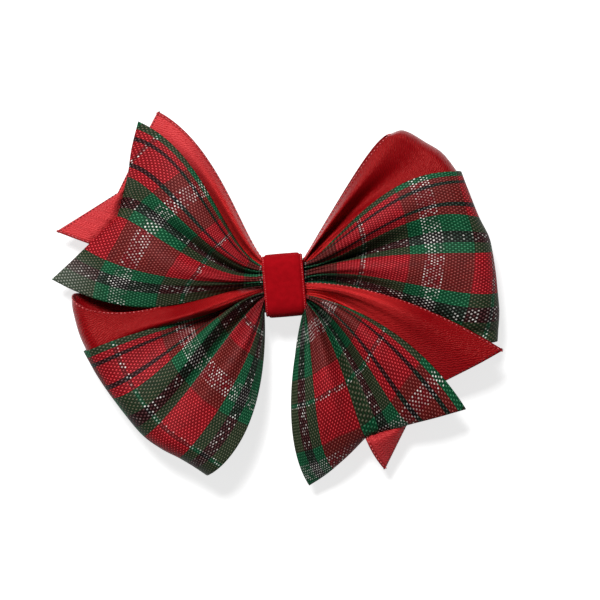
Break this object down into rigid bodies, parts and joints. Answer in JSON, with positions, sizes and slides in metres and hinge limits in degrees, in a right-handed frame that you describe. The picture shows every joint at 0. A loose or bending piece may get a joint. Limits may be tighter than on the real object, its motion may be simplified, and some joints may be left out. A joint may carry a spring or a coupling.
{
  "type": "pre-made gift bow",
  "caption": "Ready-made gift bow of tartan and red satin ribbon loops and V-cut tails, gathered under a velvet band, with an adhesive foam pad behind.",
  "frame": {"origin": "centre of the foam pad's sticky underside", "axes": "+Z out of the front of the bow, +X along its longest side, +Y up across it"},
  "size_m": [0.0998, 0.0837, 0.0144],
  "materials": {
    "tartan": "woven plaid taffeta",
    "satin": "satin",
    "velvet": "velvet pile",
    "thread": "twisted thread",
    "hot_glue": "hot-melt glue",
    "foam": "closed-cell foam",
    "adhesive": "adhesive film"
  },
  "bodies": {
    "root": {"velvet_band": "velvet", "tartan_loops": "tartan", "tartan_tails": "tartan", "satin_loops": "satin", "satin_tails": "satin", "binding_thread": "thread", "band_glue": "hot_glue", "foam_pad": "foam", "pad_adhesive_top": "adhesive", "pad_adhesive_base": "adhesive"}
  },
  "joints": []
}
